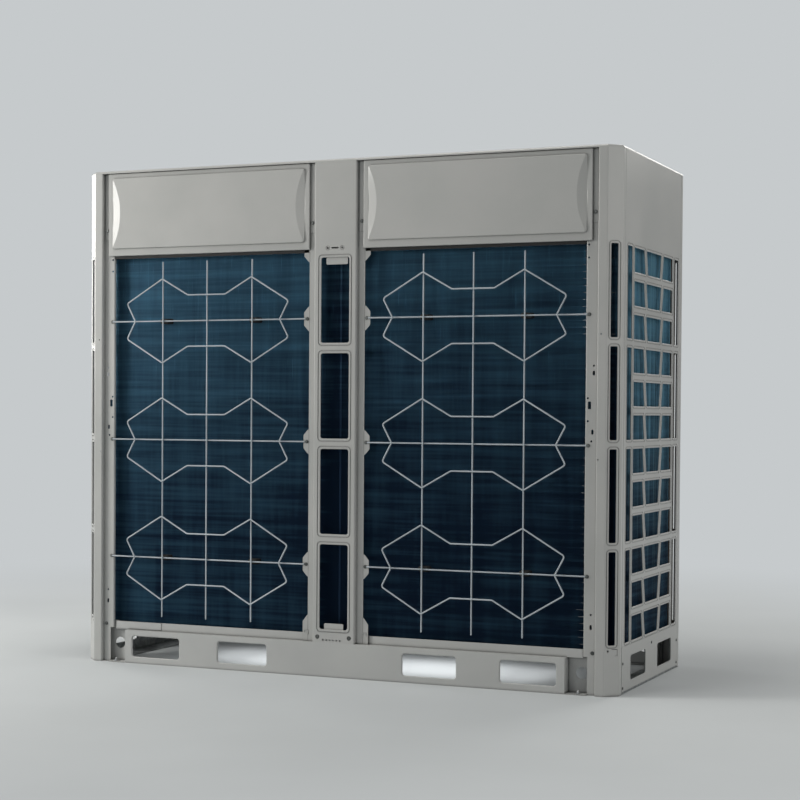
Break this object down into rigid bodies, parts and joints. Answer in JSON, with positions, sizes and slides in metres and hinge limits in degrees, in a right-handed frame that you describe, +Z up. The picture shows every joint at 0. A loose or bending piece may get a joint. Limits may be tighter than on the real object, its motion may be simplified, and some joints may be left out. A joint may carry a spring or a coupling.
{
  "type": "variable refrigerant flow outdoor unit",
  "caption": "Wide outdoor air-conditioning unit: wrapped finned coils behind wire guards, latticed ends, upward fans in bell mouths and a base with fork tunnels.",
  "frame": {"origin": "on the floor, below the middle of the cabinet", "axes": "+X runs along the wide face to the viewer's right, +Y runs from the coil and wire-guard face to the back, +Z is up"},
  "size_m": [1.885, 0.78, 1.686],
  "materials": {
    "cabinet_coat": "satin polyester powder coat, warm light grey",
    "rail_coat": "satin polyester powder coat, warm light grey",
    "zinc_sheet": "hot-dip galvanised sheet",
    "fin_aluminium": "aluminium fins with a blue corrosion-proof film",
    "wire_coat": "powder-coated steel wire",
    "guard_coat": "powder-coated steel bars",
    "black_rubber": "matt black rubber",
    "fan_plastic": "moulded glass-filled plastic",
    "motor_case": "die-cast aluminium",
    "shaft_steel": "ground steel",
    "vessel_black": "black vessel paint",
    "copper_tube": "drawn copper tube",
    "brass_body": "forged brass",
    "screw_coat": "coated steel screws"
  },
  "bodies": {
    "cabinet": {"accumulator": "vessel_black", "base_cross_members": "zinc_sheet", "base_end_panel_left": "cabinet_coat", "base_end_panel_right": "cabinet_coat", "base_rail_front": "rail_coat", "base_rail_rear": "rail_coat", "base_side_left": "zinc_sheet", "base_side_right": "zinc_sheet", "bell_mouth_left": "cabinet_coat", "bell_mouth_right": "cabinet_coat", "centre_partition": "zinc_sheet", "centre_post_front": "cabinet_coat", "centre_post_rear": "cabinet_coat", "coil_end_plates": "zinc_sheet", "coil_fins_left": "fin_aluminium", "coil_fins_right": "fin_aluminium", "coil_headers": "copper_tube", "compressor_grommets": "black_rubber", "compressor_left": "vessel_black", "compressor_pipes": "copper_tube", "compressor_right": "vessel_black", "control_box": "zinc_sheet", "control_box_cover": "zinc_sheet", "corner_post_front_left": "cabinet_coat", "corner_post_front_right": "cabinet_coat", "corner_post_rear_left": "cabinet_coat", "corner_post_rear_right": "cabinet_coat", "drain_pan": "rail_coat", "fan_guard_left": "guard_coat", "fan_guard_right": "guard_coat", "fan_hoop_left": "guard_coat", "fan_hoop_right": "guard_coat", "fan_motor_left": "motor_case", "fan_motor_right": "motor_case", "four_way_valve": "brass_body", "gas_pipes": "copper_tube", "guard_pads": "black_rubber", "liquid_pipes": "copper_tube", "mid_beam_front": "cabinet_coat", "mid_beam_rear": "cabinet_coat", "motor_rails_left": "zinc_sheet", "motor_rails_right": "zinc_sheet", "oil_separator": "vessel_black", "screw_heads": "screw_coat", "service_panel_left": "cabinet_coat", "service_panel_right": "cabinet_coat", "side_panel_left": "cabinet_coat", "side_panel_right": "cabinet_coat", "stop_valves": "brass_body", "top_cover": "cabinet_coat", "upper_panel_front_left": "cabinet_coat", "upper_panel_front_right": "cabinet_coat", "upper_panel_rear_left": "cabinet_coat", "upper_panel_rear_right": "cabinet_coat", "wire_guard_left": "wire_coat", "wire_guard_right": "wire_coat"},
    "fan_left": {"fan_rotor_left": "fan_plastic", "fan_shaft_left": "shaft_steel"},
    "fan_right": {"fan_rotor_right": "fan_plastic", "fan_shaft_right": "shaft_steel"}
  },
  "joints": [
    {"name": "fan_left_spin", "type": "hinge", "parent": "cabinet", "child": "fan_left", "pos_m": [-0.47, 0, 1.6], "axis": [0, 0, 1], "continuous": true},
    {"name": "fan_right_spin", "type": "hinge", "parent": "cabinet", "child": "fan_right", "pos_m": [0.47, 0, 1.6], "axis": [0, 0, 1], "continuous": true}
  ]
}
